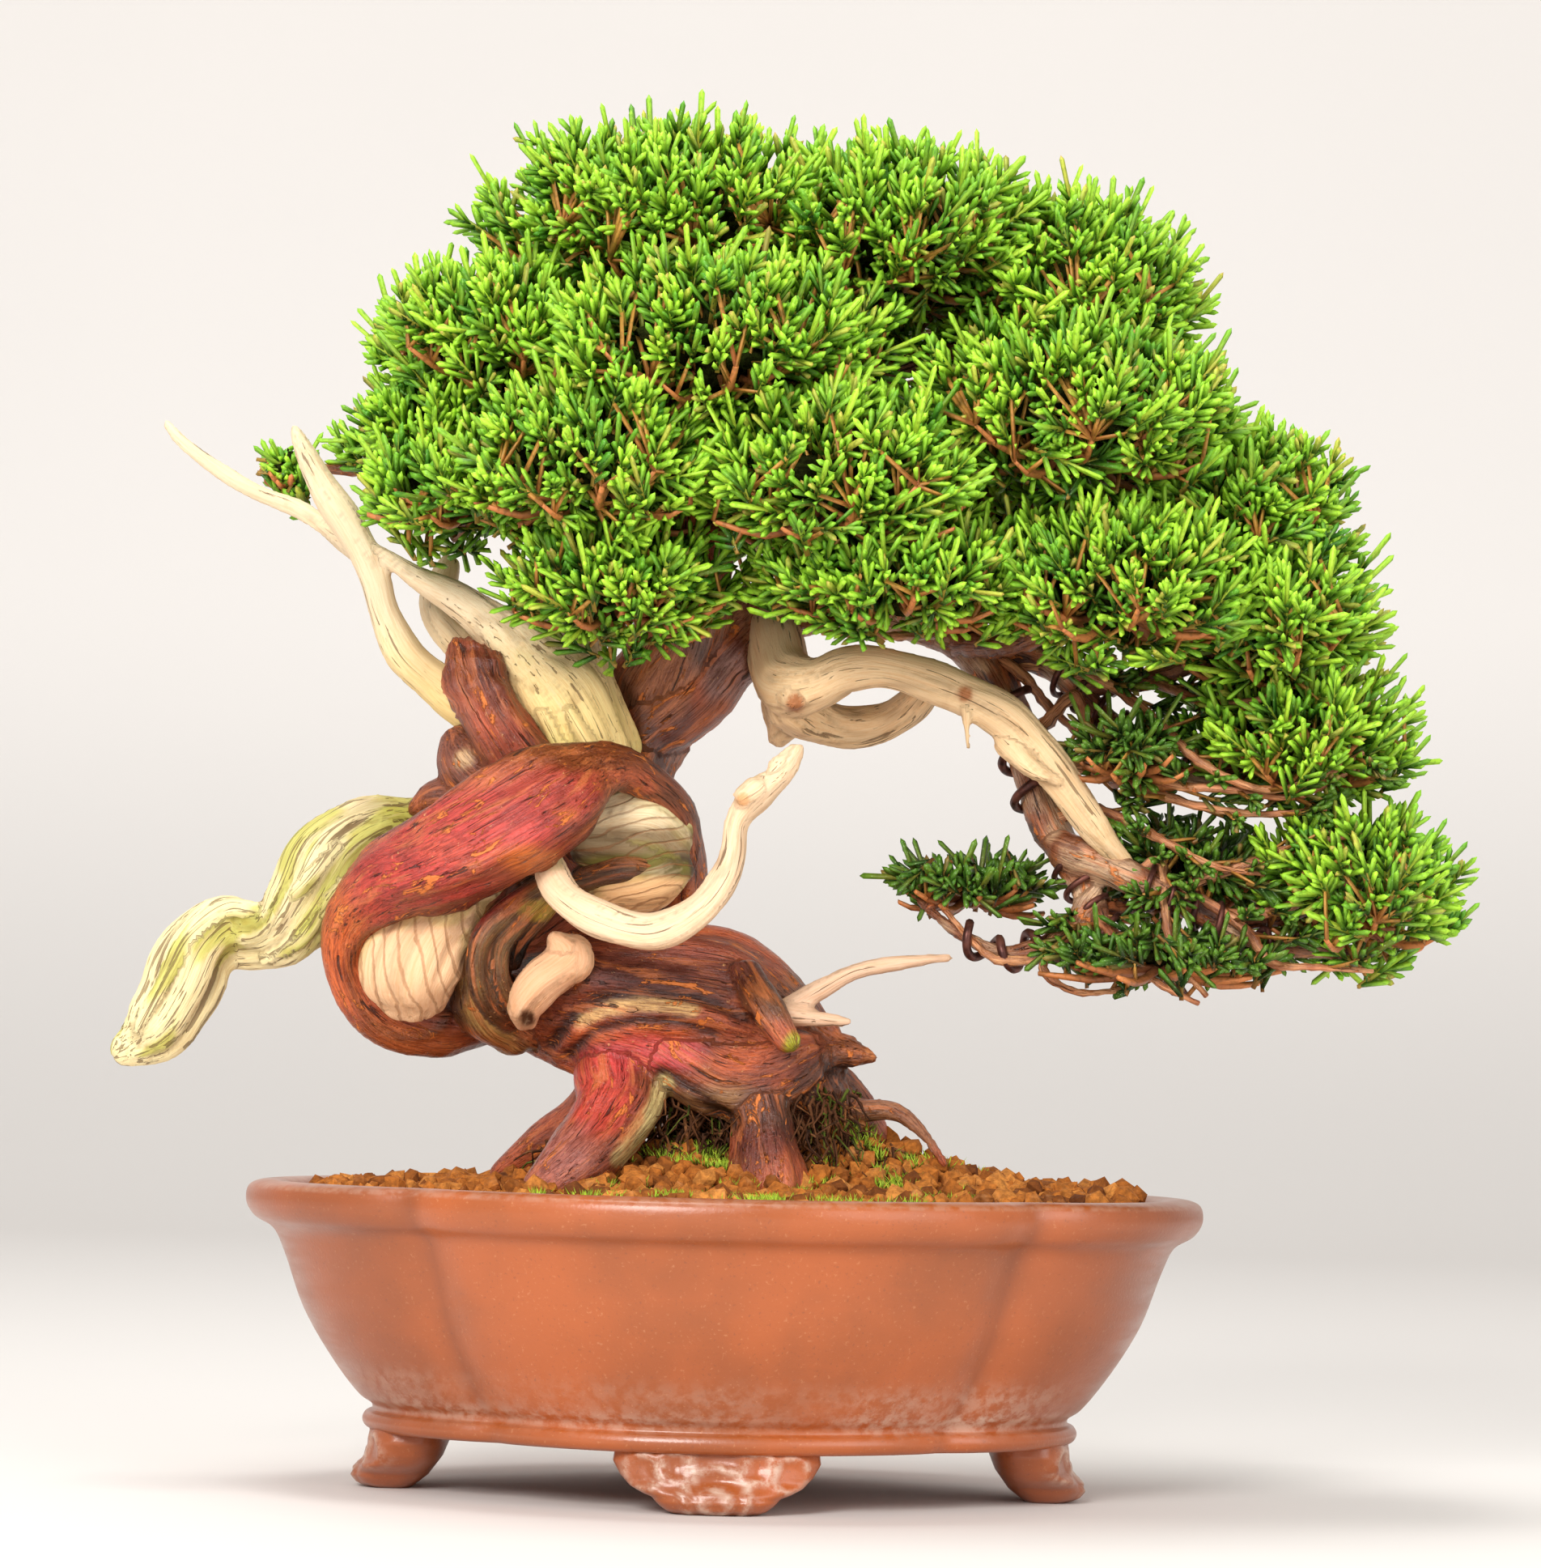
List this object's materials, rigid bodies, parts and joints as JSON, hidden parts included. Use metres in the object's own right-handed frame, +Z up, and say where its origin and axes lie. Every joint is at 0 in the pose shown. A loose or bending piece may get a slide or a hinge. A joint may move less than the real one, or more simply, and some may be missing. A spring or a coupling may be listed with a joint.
{
  "type": "chinese juniper bonsai in a pot",
  "caption": "Small coiled juniper with bleached deadwood, needle foliage pads and a low quatrefoil clay pot on cloud feet.",
  "frame": {"origin": "middle of the box round the whole object, on the surface that the pot's feet stand on", "axes": "+Z up, -Y towards the viewer of the tree's front, +X to that viewer's right"},
  "size_m": [0.2248, 0.125, 0.2315],
  "materials": {
    "clay": "unglazed red-brown clay, lightly burnished",
    "soil": "coarse baked-clay grains with patches of moss",
    "bark": "brushed red-brown juniper bark",
    "deadwood": "bleached, cracked bare wood, matt",
    "wire": "dark brown anodised",
    "foliage": "fresh green scale foliage, softly waxy"
  },
  "bodies": {
    "root": {"pot": "clay", "soil": "soil", "live_wood": "bark", "deadwood_tail": "deadwood", "deadwood_antlers": "deadwood", "deadwood_crescent": "deadwood", "deadwood_swan": "deadwood", "deadwood_cheek": "deadwood", "deadwood_hollow": "deadwood", "deadwood_arch": "deadwood", "deadwood_spur": "deadwood", "training_wire_branch": "wire", "training_wire_fork": "wire", "foliage_apex": "foliage", "foliage_apex_right": "foliage", "foliage_shoulder": "foliage", "foliage_left_high": "foliage", "foliage_left_middle": "foliage", "foliage_left_low": "foliage", "foliage_left_tip": "foliage", "foliage_front_high": "foliage", "foliage_front_left": "foliage", "foliage_front_low": "foliage", "foliage_front_middle": "foliage", "foliage_front_right": "foliage", "foliage_right_high": "foliage", "foliage_right_far": "foliage", "foliage_right_middle": "foliage", "foliage_right_inner": "foliage", "foliage_right_low": "foliage", "foliage_right_edge": "foliage", "foliage_drop_right": "foliage", "foliage_drop_middle": "foliage", "foliage_drop_low": "foliage", "foliage_drop_left": "foliage", "foliage_back_high": "foliage", "foliage_back_left": "foliage", "foliage_back_middle": "foliage", "foliage_back_right": "foliage"}
  },
  "joints": []
}
